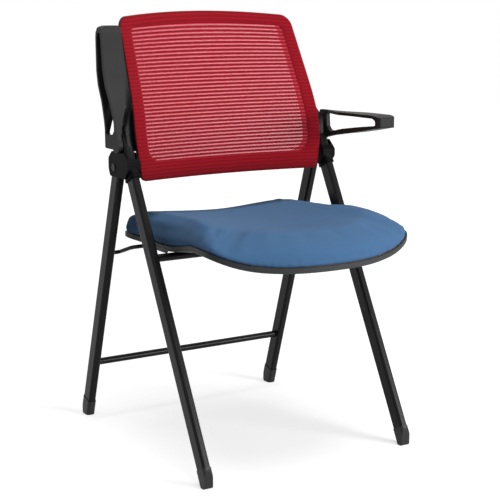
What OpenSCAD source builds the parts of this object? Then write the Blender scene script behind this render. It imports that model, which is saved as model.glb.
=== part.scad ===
// Folding conference chair: a steel A-frame, a mesh back, an upholstered seat
// and two armrests that flip up. The sitter faces -Y, the sitter's left is +X
// and +Z is up. The origin lies on the floor under the middle of the chair.
// Every length is in millimetres.

/* [Leg frame] */
// Floor distance from the front feet to the rear feet
foot_span = 514; // [490:1:540]
// How far behind the chair's middle the middle of the feet lies
foot_mid_y = 35.9; // [20:0.5:40]
// Half of the front legs' spacing, to the middle of the tube
front_x = 223; // [219:1:235]
// How much further out each rear leg stands than the front one
rear_step = 3; // [1:0.5:4]
// Lean of the front legs, degrees from upright
front_lean = 28.33; // [27.5:0.1:29]
// Width of the leg tube across the chair
tube_w = 16; // [14:0.5:18]
// Depth of the leg tube from front to back
tube_d = 30; // [26:0.5:32]
// Corner radius of the leg tube
tube_corner = 5; // [3:0.5:6]
// Wall of the leg tube
tube_wall = 1.5; // [1:0.1:2]
// Height of the bar between the front legs, which the seat turns on
seat_bar_z = 387; // [380:1:392]
// Diameter of that bar
seat_bar_d = 15; // [12:0.5:16]
// Height of the bar between the rear legs
rear_bar_z = 121; // [90:1:160]
// Diameter of that bar
rear_bar_d = 14; // [12:0.5:18]
// Length of a foot cap along its leg
foot_len = 38; // [30:1:45]
// Wall of a foot cap
foot_wall = 1.2; // [1:0.1:2.5]
// Distance along a leg at which its tube ends inside the cap
foot_cut = 31; // [30:0.5:33]

/* [Leg hinge] */
// Height of the pin on which a rear leg turns
hinge_z = 546; // [542:1:552]
// How far behind the front leg's middle line that pin lies
hinge_back = 42.5; // [40:0.5:44]
// Diameter of the hinge pin
pin_d = 8; // [6:0.5:9]
// Thickness of the hinge housing's outer cheek
cheek_out = 4; // [3:0.5:5]
// Thickness of the hinge housing's inner cheek
cheek_in = 3; // [2:0.5:4]
// How far the housing reaches below the hinge pin
housing_drop = 18; // [16:1:24]
// How far the housing reaches above the hinge pin
housing_rise = 31; // [28:1:33]
// Height over the hinge pin of the seam between the housing and the back's upright
seam_rise = 12; // [10:1:16]

/* [Seat] */
// How far the seat's widest place lies inside the front legs' middle lines
seat_gap = 5.5; // [4:0.5:12]
// Length of the seat from front to back
seat_len = 486; // [470:1:488]
// Distance of the seat's middle in front of the bar that it turns on
seat_mid = 43.6; // [42:0.2:52]
// Height of the pan's lower edge along the sides
pan_z = 397; // [395.5:0.5:402]
// Thickness of the pan's wall and floor
pan_wall = 3; // [2:0.5:4]
// How far the pan's edge dips at the middle of the front
pan_dip = 5; // [3:0.5:9]
// How far the pan's edge rises towards the front corners
pan_lift = 28; // [15:0.5:30]
// Thickness of the plywood board in the pan
board_t = 6.5; // [5:0.5:8.5]
// Height of the cushion's top over the pan's lower edge, at the middle
cushion_h = 52; // [44:1:60]
// Diameter of the rod that links the seat to the rear legs
link_d = 8; // [7:0.5:9]
// Height at which the link rod turns in the rear legs
link_z = 366; // [362:1:370]

/* [Back] */
// Gap between a front leg and the back where it is widest
back_gap = 4; // [3:0.5:10]
// How far the back's lower edge lies below the hinge pin
back_drop = 25; // [20:1:27]
// Height of the back from its lower edge to its upper corners
back_h = 308; // [280:1:320]
// How far the top edge rises at the middle
back_crown = 11; // [5:1:20]
// How far the back's middle is set behind its sides
back_hollow = 22; // [15:1:26]
// Lean of the upper back, degrees from upright
back_lean = 26; // [23:0.5:27]
// Depth of the back's moulded frame
frame_t = 9; // [7:0.5:11]
// Depth of the frame's lip round its opening
frame_lip = 19; // [12:0.5:22]
// Width of the solid border along the sides
border_side = 33; // [26:1:38]
// Width of the solid border along the top
border_top = 27; // [22:1:34]
// Width of the solid border along the bottom
border_low = 38; // [30:1:44]
// Rows of openings in the mesh
mesh_rows = 36; // [20:1:36]
// Columns of openings in the mesh
mesh_columns = 7; // [4:1:8]

/* [Armrests] */
// Height of the pivot on which an armrest flips up, over the hinge housing
arm_lift = 13; // [11:1:17]
// Diameter of an armrest's pivot bolt
bolt_d = 10; // [8:0.5:11]
// Length of an armrest from its pivot to its tip
arm_len = 225; // [210:1:240]
// Height of an armrest's top over its pivot
arm_rise = 51; // [46:1:56]
// Width of an armrest's pad
arm_w = 43; // [38:1:45]
// Thickness of an armrest's hub
hub_t = 8.4; // [7.6:0.2:9]

/* [Hidden] */
$fn = 48;

// Sides: the sitter's left is at +X
left = 1;
right = -1;

// Clearances: between fixed parts, between turning parts, and on a pin's radius
fit = 0.15;
clear = 0.3;
slip = 0.1;
// Overrun of a cut past the face it cuts
over = 2;
// Overlap of two solids that are fused
fuse = 0.5;

// Leg lines, seen from the side: y at height z, from the middle of the feet
function front_line(z) = -foot_span / 2 + z * tan(front_lean);
hinge_y = front_line(hinge_z) + hinge_back;
rear_lean = atan((foot_span / 2 - hinge_y) / hinge_z);
function rear_line(z) = foot_span / 2 - z * tan(rear_lean);
rear_x = front_x + rear_step;
tube_len = 720;

// The space that a rear leg sweeps as it folds
fold_angle = 40;
swing_room = 0.6;
swing_len = 90;
swing_steps = 12;
// The rear leg's closed upper end is rounded about a line below the pin; its
// corners reach furthest from the pin
eye_drop = 3;
eye_round = tube_d / 2 + eye_drop;
rear_eye_r = norm([tube_d / 2, sqrt(pow(eye_round, 2) - pow(tube_d / 2, 2)) - eye_drop]);

// The casting that carries the back, over the front leg's upper end
socket_wall = 2;
socket_over = 14;
leg_over = 10;
housing_low_z = hinge_z - housing_drop;
housing_top_z = hinge_z + housing_rise;
seam_z = hinge_z + seam_rise;
arm_pivot_z = housing_top_z + arm_lift;
socket_top_z = arm_pivot_z + socket_over;
leg_top_z = arm_pivot_z + leg_over;
arm_pivot_y = front_line(arm_pivot_z);

// Housing across the chair: inner cheek, room for both legs, outer cheek
room_in_x = front_x - tube_w / 2 - socket_wall - clear;
room_out_x = rear_x + tube_w / 2 + clear;
housing_in_x = room_in_x - cheek_in;
housing_out_x = room_out_x + cheek_out;
// Housing outline: reach in front of the front leg's line and behind the rear leg's
cheek_front = 22;
cheek_rear = 25;
cheek_corner = 14;
cheek_round = 6;
collar_wall = 2.8;
collar_ring = 3;
collar_groove = 0.5;
hub_room = 0.6;
pin_head_d = 15;
pin_head_t = 2.5;
spacer_d = 14;

// Foot caps: the height from which the sharp end is cut upright, its rounding,
// and the plug inside the tube
toe_cut = 33;
toe_round = 5;
plug_len = 22;
toe_steps = 4;

// Seat pivot on the front bar, and the slot in which the link rod slides
seat_pivot_y = front_line(seat_bar_z);
seat_w = 2 * (front_x - seat_gap);
link_y = rear_line(link_z);
slot_reach = 125.4;
slot_y = seat_pivot_y + slot_reach;
slot_z = 386;
seat_fold = 30;
link_fold = 50;
slot_steps = 8;
link_side = 15;
link_hold = 4;
link_x = rear_x - tube_w / 2 - link_side;
link_pin_len = link_side + link_hold;
link_bend = 10;
hanger_inset = 137.5;
hanger_x = seat_w / 2 - hanger_inset;
hanger_w = 24;
hanger_wall = 2.4;
hanger_reach = 30;
runner_inset = 67.5;
runner_x = seat_w / 2 - runner_inset;
runner_t = 2.5;
runner_flange = 18;
runner_end = 10;
runner_low = 6;
runner_chamfer = 6;
screw_d = 4;
screw_head_d = 8;
screw_head_t = 2;
screw_inset = 9;
screw_len = 10;

// Half outline of the seat from the middle of its front to the middle of its
// rear, as shares of half its width and half its length
seat_outline_shares = [
    [0, -1], [0.3, -0.975], [0.56, -0.905], [0.76, -0.835], [0.91, -0.755], [0.985, -0.675], [1, -0.57],
    [0.977, -0.42], [0.935, -0.22], [0.898, -0.01], [0.88, 0.25], [0.877, 0.6], [0.885, 0.86], [0.85, 0.965],
    [0.74, 0.995], [0.4, 1], [0, 1],
];
seat_steps = 3;
// Cushion rings, from the centre outwards: share of the outline's reach
cushion_ring_shares = [0.3, 0.55, 0.75, 0.87, 0.94, 0.975, 0.993, 1];
cushion_tuck_share = 0.983;
cushion_bulge = 10;
// The top over the pan's lower edge, as shares of the cushion's height, from the
// front to the back: along the middle and along the sides
cushion_middle_shares = [[-1, 0.6], [-0.85, 0.74], [-0.6, 0.88], [-0.2, 0.95], [0.3, 0.93], [0.7, 0.86], [1, 0.76]];
cushion_side_shares = [
    [-1, 0.62], [-0.85, 0.73], [-0.72, 0.86], [-0.6, 1.02], [-0.45, 1.18], [-0.2, 1.32], [0, 1.36], [0.25, 1.3], [0.5, 1.2],
    [0.75, 1.08], [1, 0.95],
];
cushion_edge_power = 10;
cushion_firm_share = 0.5;
rim_cover = 0.35;
pan_rim = pan_wall + fit + board_t + rim_cover;

// Back shape
back_w = 2 * (front_x - tube_w / 2 - back_gap);
back_round_top = 20;
back_round_low = 9;
window_round_top = 18;
window_round_low = 33;
back_set = 31;
back_lip_y = arm_pivot_y - back_set;
back_low_z = hinge_z - back_drop;
back_high_z = back_low_z + back_h;
back_upright_h = 29;
back_upright_z = back_low_z + back_upright_h;
back_blend = 144;
back_wide_h = 99;
back_wide_z = back_low_z + back_wide_h;
band_shares = [0.3, 0.55, 0.8];
back_taper_share = 0.071;
back_waist_share = 0.052;
cover_t = 1.5;
mesh_t = 1.2;
mesh_lap = 9;
mesh_bar = 3.4;
mesh_gap = 0.3;
frame_y = cover_t + mesh_t + mesh_gap + mesh_gap;
cover_wrap = frame_y - clear;
lip_w = 8;
border_steps = 8;
side_steps = 18;
level_steps = 12;
back_screw_shares = [0.45, 0.725];
back_screw_head_d = 9;
back_screw_grip = 6;
back_screw_seat = 14;

// Uprights: height over the housing, distance inside the front leg's middle,
// width and depth at each station
upright_seat = 1.5;
upright_rise = back_high_z - housing_top_z;
upright_stations = [
    [upright_seat, 7, 22, 32], [0.18 * upright_rise, 6, 23, 30], [0.33 * upright_rise, 22, 14, 26],
    [0.57 * upright_rise, 32, 12, 21], [0.85 * upright_rise, 41, 12, 17],
];
upright_corner = 3.5;
section_steps = 4;

// Armrests, as they lie when down: places from the pivot, towards the tip and up
hub_r = 15;
arm_inset = 10;
arm_in_x = front_x - arm_inset;
arm_edge = 4;
arm_bar = 6;
bush_d = 16;
bush_len = 5;
bolt_head_d = 16;
bolt_head_t = 1.8;
cap_d = 18;
cap_t = 1.3;
nut_t = 5;

// The whole chair is drawn from the middle of its feet
module from_feet() { translate([0, foot_mid_y, 0]) children(); }

// Draws for the sitter's left and mirrors it for the right
module on_side(side) { if (side == left) children(); else mirror([1, 0, 0]) children(); }

// Extrudes a side view, drawn in (y, z), from x0 to x1
module side_view(x0, x1) {
    translate([x0, 0, 0]) rotate([90, 0, 90]) linear_extrude(x1 - x0) children();
}

module rounded_rect(w, d, r) {
    square([w - 2 * r, d], center = true);
    square([w, d - 2 * r], center = true);
    for (x = [-1, 1], y = [-1, 1]) translate([x * (w / 2 - r), y * (d / 2 - r)]) circle(r);
}

// Coordinates along a leg: its foot at the origin and its length along +Z
module along_front_leg() { translate([front_x, -foot_span / 2, 0]) rotate([-front_lean, 0, 0]) children(); }
module along_rear_leg() { translate([rear_x, foot_span / 2, 0]) rotate([rear_lean, 0, 0]) children(); }

// Everything below a height
module below(z) { translate([0, 0, z - tube_len]) cube(2 * tube_len, center = true); }

module leg_outline(grow) { rounded_rect(tube_w + 2 * grow, tube_d + 2 * grow, tube_corner + grow); }

module leg_tube(length) {
    translate([0, 0, foot_cut]) linear_extrude(length - foot_cut) difference() {
        leg_outline(0);
        leg_outline(-tube_wall);
    }
}

// A bar across the chair between x0 and x1
module cross_rod(x0, x1, y, z, d) { translate([x0, y, z]) rotate([0, 90, 0]) cylinder(d = d, h = x1 - x0); }

module front_leg(side) {
    color("#2b2b2d") from_feet() on_side(side) difference() {
        along_front_leg() leg_tube(leg_top_z / cos(front_lean));
        cross_rod(front_x - tube_w, front_x + tube_w, arm_pivot_y, arm_pivot_z, bolt_d + 2 * slip);
    }
}

module front_leg_left() { front_leg(left); }
module front_leg_right() { front_leg(right); }

// A moulded cap with a sole flat on the floor and a plug up into the tube. Its
// sharp end, which would lie at y = toe, is cut upright and rounded
module foot_cap(toe, inward, lean) {
    face = toe + inward * toe_cut * tan(lean);
    difference() {
        intersection() {
            children(0);
            side_view(front_x - tube_d, front_x + tube_d) polygon(concat(
                [for (i = [0:toe_steps]) let (a = 90 * i / toe_steps)
                    [face + inward * toe_round * (1 - cos(a)), toe_round * (1 - sin(a))]],
                [[face + inward * 2 * foot_len, 0], [face + inward * 2 * foot_len, 2 * foot_len], [face, 2 * foot_len]]
            ));
        }
        children(1);
    }
    children(2);
}

module foot_solid(grow, from, to) { translate([0, 0, from]) linear_extrude(to - from) leg_outline(grow); }

module front_foot(side) {
    toe = -foot_span / 2 - (tube_d / 2 + foot_wall) / cos(front_lean);
    color("#1c1c1e") from_feet() on_side(side) foot_cap(toe, 1, front_lean) {
        along_front_leg() foot_solid(foot_wall, -foot_len, foot_len);
        along_front_leg() foot_solid(fit, foot_cut, foot_len + over);
        along_front_leg() foot_solid(-tube_wall - fit, foot_cut - fuse, foot_cut + plug_len);
    }
}

module front_foot_left() { front_foot(left); }
module front_foot_right() { front_foot(right); }

module seat_bar() {
    inner = front_x - tube_w / 2;
    color("#2b2b2d") from_feet() cross_rod(-inner, inner, seat_pivot_y, seat_bar_z, seat_bar_d);
}

// Side view of the housing's cheeks
module cheek_outline() {
    zb = housing_low_z;
    zt = housing_top_z;
    zm = (zb + zt) / 2;
    c = cheek_corner;
    offset(r = cheek_round) offset(r = -cheek_round) polygon([
        [front_line(zb) + tube_corner, zb], [rear_line(zb) + cheek_rear - c, zb],
        [rear_line(zm) + cheek_rear, zb + c], [rear_line(zm) + cheek_rear, zt - c],
        [rear_line(zt) + cheek_rear - c / 2, zt], [front_line(zt) - cheek_front + c / 2, zt],
        [front_line(zm) - cheek_front, zm + c / 2], [front_line(zm) - cheek_front, zm - c / 2],
    ]);
}

// Side view of the room in which a rear leg swings: round over the pin, and open
// downwards from the standing leg's rear side to the folded leg's front side
module swing_outline() {
    r = rear_eye_r + swing_room;
    folded = rear_lean - fold_angle;
    turn = 180 + folded - rear_lean;
    translate([hinge_y, hinge_z]) polygon(concat(
        [for (i = [0:swing_steps]) let (a = rear_lean + turn * i / swing_steps) r * [cos(a), sin(a)]],
        [-r * [cos(folded), sin(folded)] + swing_len * [sin(folded), -cos(folded)],
            r * [cos(rear_lean), sin(rear_lean)] + swing_len * [sin(rear_lean), -cos(rear_lean)]]
    ));
}

module hinge_housing(side) {
    seam = seam_z / cos(front_lean);
    collar_low = housing_low_z / cos(front_lean);
    color("#222224") from_feet() on_side(side) difference() {
        union() {
            side_view(housing_in_x, housing_out_x) cheek_outline();
            along_front_leg() translate([0, 0, collar_low]) linear_extrude(seam - collar_low) leg_outline(collar_wall);
            along_front_leg() translate([0, 0, collar_low - collar_ring / 2]) linear_extrude(collar_ring)
                leg_outline(collar_wall + collar_groove);
        }
        along_front_leg() translate([0, 0, collar_low - tube_d]) linear_extrude(seam - collar_low + 2 * tube_d) leg_outline(fit);
        along_front_leg() translate([room_in_x - front_x, -tube_d - collar_wall, seam])
            cube([room_out_x - room_in_x, 1.5 * tube_d + collar_wall + socket_wall + clear, tube_d + collar_wall]);
        intersection() {
            side_view(room_in_x, room_out_x) swing_outline();
            below(housing_top_z - collar_wall);
        }
        cross_rod(housing_in_x - over, housing_out_x + over, hinge_y, hinge_z, pin_d + 2 * slip);
        cross_rod(hub_in_x - clear, housing_out_x + over, arm_pivot_y, arm_pivot_z, 2 * (hub_r + hub_room));
    }
}

module hinge_housing_left() { hinge_housing(left); }
module hinge_housing_right() { hinge_housing(right); }

module hinge_pin(side) {
    color("#8a8a8e") from_feet() on_side(side) {
        cross_rod(housing_in_x - pin_head_t, housing_out_x, hinge_y, hinge_z, pin_d);
        cross_rod(housing_in_x - pin_head_t, housing_in_x, hinge_y, hinge_z, pin_head_d);
        cross_rod(housing_out_x, housing_out_x + pin_head_t / 2, hinge_y, hinge_z, pin_head_d);
    }
}

module hinge_pin_left() { hinge_pin(left); }
module hinge_pin_right() { hinge_pin(right); }

// The outline of a rounded bar's section as points
function bar_section(w, d, r) = [for (q = [[1, 1, 0], [-1, 1, 90], [-1, -1, 180], [1, -1, 270]], i = [0:section_steps])
    let (a = q[2] + 90 * i / section_steps)
    [q[0] * (w / 2 - r) + r * cos(a), q[1] * (d / 2 - r) + r * sin(a)]];

// A solid through rings of points, listed from its lower end to its upper one
module loft(rings) {
    n = len(rings[0]);
    m = len(rings);
    polyhedron([for (g = rings) each g], concat(
        [[for (i = [0:n - 1]) i]],
        [for (g = [0:m - 2], i = [0:n - 1]) let (
            a = g * n + i, b = g * n + (i + 1) % n
        ) each [[a, a + n, b + n], [a, b + n, b]]],
        [[for (i = [n - 1:-1:0]) (m - 1) * n + i]]
    ));
}

module back_upright(side) {
    seam = seam_z / cos(front_lean) + fit;
    top = socket_top_z / cos(front_lean);
    leg_end = leg_top_z / cos(front_lean) + fit;
    nut_face = front_x - tube_w / 2 - socket_wall;
    rings = [for (s = upright_stations) let (x = front_x - s[1], z = housing_top_z + s[0])
        [for (q = bar_section(s[2], s[3], upright_corner))
            [x + q[0], back_rear(x + q[0], z) + fit + s[3] / 2 + q[1], z]]];
    color("#2b2b2d") from_feet() on_side(side) difference() {
        union() {
            along_front_leg() translate([0, 0, seam]) linear_extrude(top - seam) leg_outline(socket_wall);
            loft(rings);
        }
        along_front_leg() linear_extrude(leg_end) leg_outline(fit);
        cross_rod(front_x - tube_w, front_x + tube_w, arm_pivot_y, arm_pivot_z, bolt_d + 2 * slip);
        cross_rod(nut_face - tube_w, nut_face, arm_pivot_y, arm_pivot_z, bolt_head_d + 2 * clear);
        back_screw_cuts();
    }
}

module back_upright_left() { back_upright(left); }
module back_upright_right() { back_upright(right); }

// The back's front face, from its hollow plan and its leaning side view
function taper(z) = z < back_wide_z
    ? 1 - back_waist_share * pow((back_wide_z - z) / back_wide_h, 2)
    : 1 - back_taper_share * (z - back_wide_z) / (back_high_z - back_wide_z);
function lean_y(z) = z < back_upright_z + back_blend
    ? tan(back_lean) / (2 * back_blend) * pow(max(z - back_upright_z, 0), 2)
    : tan(back_lean) * (z - back_upright_z - back_blend / 2);
function back_y(x, z) = back_lip_y + lean_y(z) + back_hollow * (1 - pow(x / (back_w / 2 * taper(z)), 2));

function back_rear(x, z) = back_y(x, z) + frame_y + frame_t;

// Maps a flat point on the back, across and up, to its true place at a depth
function back_place(across, z, depth) = let (
    rise = max(z - back_wide_z, 0) / (back_high_z - back_wide_z),
    u = across / (back_w / 2),
    zz = z + back_crown * pow(rise, 3) * (1 - u * u),
    x = across * taper(z)
) [x, back_y(x, zz) + depth, zz];

// A rounded outline of the flat back, inset from its edges
function arc(cx, cz, r, a0, n) = [for (i = [0:n]) [cx + r * cos(a0 + 90 * i / n), cz + r * sin(a0 + 90 * i / n)]];
function run(a, b, n) = [for (i = [1:n - 1]) a + (b - a) * i / n];
function flat_outline(side, low, top, r_low, r_top) = let (
    w = back_w / 2 - side,
    zl = back_low_z + low,
    zh = back_high_z - top,
    corner_1 = arc(w - r_low, zl + r_low, r_low, -90, border_steps),
    corner_2 = arc(w - r_top, zh - r_top, r_top, 0, border_steps),
    half = concat(corner_1, run([w, zl + r_low], [w, zh - r_top], side_steps), corner_2),
    top_run = run([w - r_top, zh], [r_top - w, zh], level_steps),
    mirrored = [for (i = [len(half) - 1:-1:0]) [-half[i][0], half[i][1]]],
    low_run = run([r_low - w, zl], [w - r_low, zl], level_steps)
) concat(half, top_run, mirrored, low_run);

outer_outline = flat_outline(0, 0, 0, back_round_low, back_round_top);
inner_outline = flat_outline(border_side, border_low, border_top, window_round_low, window_round_top);

// A closed band round the back: its section is [share of the border's width, depth]
module border_band(section) {
    n = len(outer_outline);
    m = len(section);
    points = [for (i = [0:n - 1], s = section) let (
        p = outer_outline[i] + (inner_outline[i] - outer_outline[i]) * s[0]
    ) back_place(p[0], p[1], s[1])];
    faces = [for (i = [0:n - 1], j = [0:m - 1]) let (
        a = i * m + j, b = i * m + (j + 1) % m,
        c = ((i + 1) % n) * m + (j + 1) % m, d = ((i + 1) % n) * m + j
    ) each [[a, b, c], [a, c, d]]];
    polyhedron(points, faces);
}

module back_frame() {
    bevel = frame_t / 4;
    wall_share = cover_t / border_side;
    lip_share = 1 - lip_w / border_side;
    color("#1c1c1e") from_feet() difference() {
        border_band(concat(
            [[0, frame_y], [0, frame_y + frame_t - bevel], [wall_share, frame_y + frame_t]],
            [for (share = band_shares) if (share < lip_share) [share, frame_y + frame_t]],
            [[lip_share, frame_y + frame_t], [1 - 2 * wall_share, frame_y + frame_lip]],
            [[1, frame_y + frame_lip], [1, frame_y]],
            [for (i = [len(band_shares) - 1:-1:0]) [band_shares[i], frame_y]]
        ));
        for (side = [left, right]) on_side(side) back_screw_cuts();
    }
}

module back_cover() {
    wall_share = (cover_t - fit) / border_side;
    round_share = cover_t / 2 / border_side;
    color("#a31c2c") from_feet() border_band(concat(
        [[0, cover_t / 2], [0, cover_wrap], [wall_share, cover_wrap], [wall_share, cover_t]],
        [for (share = band_shares) [share, cover_t]],
        [[1, cover_t], [1, 0]],
        [for (i = [len(band_shares) - 1:-1:0]) [band_shares[i], 0]],
        [[round_share, 0]]
    ));
}

// The mesh: a lattice between its front and rear faces, open in every cell of
// an odd row and an odd column
module back_mesh() {
    rows = 2 * mesh_rows + 1;
    cols = 2 * mesh_columns + 1;
    half_w = back_w / 2 - border_side + mesh_lap;
    z_low = back_low_z + border_low;
    z_high = back_high_z - border_top;
    pitch = (z_high - z_low) / mesh_rows;
    bar = pitch / 2;
    strip = mesh_bar / 2;
    xs = concat([-half_w], [for (c = [0:mesh_columns - 1]) let (
        a = -half_w + mesh_lap + c * 2 * (half_w - mesh_lap) / mesh_columns,
        b = -half_w + mesh_lap + (c + 1) * 2 * (half_w - mesh_lap) / mesh_columns
    ) each [a + (c == 0 ? 0 : strip / 2), b - (c == mesh_columns - 1 ? 0 : strip / 2)]], [half_w]);
    zs = concat([z_low - mesh_lap], [for (r = [0:mesh_rows - 1]) each [z_low + r * pitch + bar / 2,
        z_low + (r + 1) * pitch - bar / 2]], [z_high + mesh_lap]);
    front = cover_t + mesh_gap;
    points = concat(
        [for (z = zs, x = xs) back_place(x, z, front)],
        [for (z = zs, x = xs) back_place(x, z, front + mesh_t)]
    );
    nx = len(xs);
    size = nx * len(zs);
    function open(r, c) = r % 2 == 1 && c % 2 == 1;
    function solid(r, c) = r >= 0 && c >= 0 && r < rows && c < cols && !open(r, c);
    function quad(a, b, c, d) = [[a, b, c], [a, c, d]];
    faces = [for (r = [0:rows - 1], c = [0:cols - 1]) if (solid(r, c)) let (
        a = r * nx + c, b = a + 1, d = a + nx, e = d + 1
    ) each concat(
        quad(a, d, e, b),
        quad(a + size, b + size, e + size, d + size),
        solid(r - 1, c) ? [] : quad(a, b, b + size, a + size),
        solid(r + 1, c) ? [] : quad(d, d + size, e + size, e),
        solid(r, c - 1) ? [] : quad(a, a + size, d + size, d),
        solid(r, c + 1) ? [] : quad(b, e, e + size, b + size)
    )];
    color("#c05060") from_feet() polyhedron(points, faces);
}

// Places of the screws that hold the back's frame to an upright: each child is
// drawn along the screw, from the frame's rear face towards the front
module at_back_screws() {
    for (share = back_screw_shares) {
        z = housing_top_z + share * upright_rise;
        x = front_x - lookup(share * upright_rise, [for (s = upright_stations) [s[0], s[1]]]);
        translate([x, back_rear(x, z), z]) rotate([90 - back_lean, 0, 0]) children();
    }
}

module back_screw_cuts() {
    at_back_screws() {
        translate([0, 0, -tube_d]) cylinder(d = screw_d + 2 * slip, h = tube_d + back_screw_grip + slip, $fn = 24);
        translate([0, 0, -tube_d - back_screw_seat]) cylinder(d = back_screw_head_d + 2 * fit, h = tube_d);
    }
}

module back_screws() {
    color("#8a8a8e") from_feet() for (side = [left, right]) on_side(side) at_back_screws() {
        translate([0, 0, -back_screw_seat]) cylinder(d = screw_d, h = back_screw_seat + back_screw_grip, $fn = 24);
        translate([0, 0, -back_screw_seat - screw_head_t]) cylinder(d = back_screw_head_d, h = screw_head_t);
    }
}

module arm_bolt(side) {
    hub_x = front_x + tube_w / 2 + socket_wall + clear * 2;
    head_x = hub_x + bush_len + clear;
    nut_x = front_x - tube_w / 2 - socket_wall - clear;
    color("#8a8a8e") from_feet() on_side(side) {
        cross_rod(nut_x - nut_t, head_x, arm_pivot_y, arm_pivot_z, bolt_d);
        cross_rod(head_x, head_x + bolt_head_t, arm_pivot_y, arm_pivot_z, bolt_head_d);
        cross_rod(nut_x - nut_t, nut_x, arm_pivot_y, arm_pivot_z, bolt_head_d);
    }
}

module arm_bolt_left() { arm_bolt(left); }
module arm_bolt_right() { arm_bolt(right); }

// What is cut from a square tube end, to leave it rounded over the pin
module rear_end_cut(top) {
    translate([0, 0, top - eye_drop]) difference() {
        translate([-tube_w, -tube_d, 0]) cube([2 * tube_w, 2 * tube_d, 3 * tube_d]);
        rotate([0, 90, 0]) cylinder(r = eye_round, h = 4 * tube_w, center = true);
    }
}

module rear_leg(side) {
    top = hinge_z / cos(rear_lean);
    color("#2b2b2d") from_feet() on_side(side) difference() {
        along_rear_leg() difference() {
            translate([0, 0, foot_cut]) linear_extrude(top + tube_d - foot_cut) leg_outline(0);
            linear_extrude(top - tube_d) leg_outline(-tube_wall);
            rear_end_cut(top);
        }
        cross_rod(rear_x - tube_w, rear_x + tube_w, hinge_y, hinge_z, pin_d + 2 * slip);
        cross_rod(rear_x - tube_w, rear_x, link_y, link_z, link_d + 2 * slip);
    }
}

module rear_leg_left() { rear_leg(left); }
module rear_leg_right() { rear_leg(right); }

module rear_bar() {
    inner = rear_x - tube_w / 2;
    color("#2b2b2d") from_feet() cross_rod(-inner, inner, rear_line(rear_bar_z), rear_bar_z, rear_bar_d);
}

module rear_foot(side) {
    toe = foot_span / 2 + (tube_d / 2 + foot_wall) / cos(rear_lean);
    color("#1c1c1e") from_feet() on_side(side) foot_cap(toe, -1, rear_lean) {
        along_rear_leg() foot_solid(foot_wall, -foot_len, foot_len);
        along_rear_leg() foot_solid(fit, foot_cut, foot_len + over);
        along_rear_leg() foot_solid(-tube_wall - fit, foot_cut - fuse, foot_cut + plug_len);
    }
}

module rear_foot_left() { rear_foot(left); }
module rear_foot_right() { rear_foot(right); }

module hinge_spacers() {
    color("#d8d8d4") from_feet() for (side = [left, right]) on_side(side) difference() {
        cross_rod(room_in_x + clear, rear_x - tube_w / 2, hinge_y, hinge_z, spacer_d);
        cross_rod(room_in_x, rear_x, hinge_y, hinge_z, pin_d + 2 * slip);
    }
}

// A quarter bend in the link rod, from its start on +X to its end on +Y
module rod_bend() { rotate_extrude(angle = 90) translate([link_bend, 0]) circle(d = link_d); }

// The rod from leg to leg: a pin in each rear leg, two side arms and a long bar
module link_rod() {
    reach = [slot_y - link_y, slot_z - link_z];
    straight = norm(reach) - 2 * link_bend;
    color("#3a3a3c") from_feet() {
        cross_rod(link_bend - link_x, link_x - link_bend, slot_y, slot_z, link_d);
        for (side = [left, right]) on_side(side) {
            cross_rod(link_x + link_bend, link_x + link_pin_len, link_y, link_z, link_d);
            translate([link_x, link_y, link_z]) rotate([atan2(reach[1], reach[0]), 0, 0]) {
                translate([link_bend, link_bend, 0]) rotate([0, 0, 180]) rod_bend();
                translate([0, link_bend, 0]) rotate([-90, 0, 0]) cylinder(d = link_d, h = straight);
                translate([-link_bend, link_bend + straight, 0]) rod_bend();
            }
        }
    }
}

// A smooth closed curve through a list of points
function spline(p, n) = let (m = len(p)) [for (i = [0:m - 1], k = [0:n - 1]) let (
    a = p[(i + m - 1) % m], b = p[i], c = p[(i + 1) % m], d = p[(i + 2) % m], t = k / n
) (2 * b + (c - a) * t + (2 * a - 5 * b + 4 * c - d) * t * t + (3 * b - a - 3 * c + d) * t * t * t) / 2];

seat_half = seat_outline_shares;
seat_unit = spline(concat(seat_half, [for (i = [len(seat_half) - 2:-1:1]) [-seat_half[i][0], seat_half[i][1]]]),
    seat_steps);

// Heights over the seat, from the shares across and along it
function ramp(v, from, to) = let (t = min(max((v - from) / (to - from), 0), 1)) t * t * (3 - 2 * t);
function pan_height(u, v) = pan_z + ramp(v, 0.28, -0.38) * pan_lift * pow(u, 4) - ramp(v, -0.2, -0.9) * pan_dip;
function cushion_height(u, v) = let (
    middle = lookup(v, cushion_middle_shares), side = lookup(v, cushion_side_shares)
) pan_z + cushion_h * (middle + (side - middle) * pow(u / 0.9, 2));

// A solid of rings inside the seat's outline, listed from the bottom's middle
// outwards and back to the top's middle: [reach share, height, share of the crown]
module seat_solid(rings) {
    n = len(seat_unit);
    m = len(rings);
    function place(r, h, crown, unit) = let (
        u = r * unit[0], v = r * unit[1], low = pan_height(u, v)
    ) [u * seat_w / 2, seat_pivot_y - seat_mid + v * seat_len / 2,
        low + h + pow(crown, 1 - cushion_firm_share * ramp(v, -0.4, 0.1)) * (cushion_height(u, v) - low - pan_rim)];
    points = concat(
        [for (g = rings, q = seat_unit) place(g[0], g[1], g[2], q)],
        [place(0, rings[0][1], rings[0][2], [0, 0]), place(0, rings[m - 1][1], rings[m - 1][2], [0, 0])]
    );
    faces = concat(
        [for (g = [0:m - 2], i = [0:n - 1]) let (
            a = g * n + i, b = g * n + (i + 1) % n, c = b + n, d = a + n
        ) each rings[g][0] > rings[g + 1][0] ? [[a, d, b], [b, d, c]] : [[a, d, c], [a, c, b]]],
        [for (i = [0:n - 1]) [m * n, i, (i + 1) % n]],
        [for (i = [0:n - 1]) [m * n + 1, (m - 1) * n + (i + 1) % n, (m - 1) * n + i]]
    );
    polyhedron(points, faces);
}

wall_share = 1 - 2 * pan_wall / seat_w;
edge_share = 1 - pan_wall / seat_w;

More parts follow.
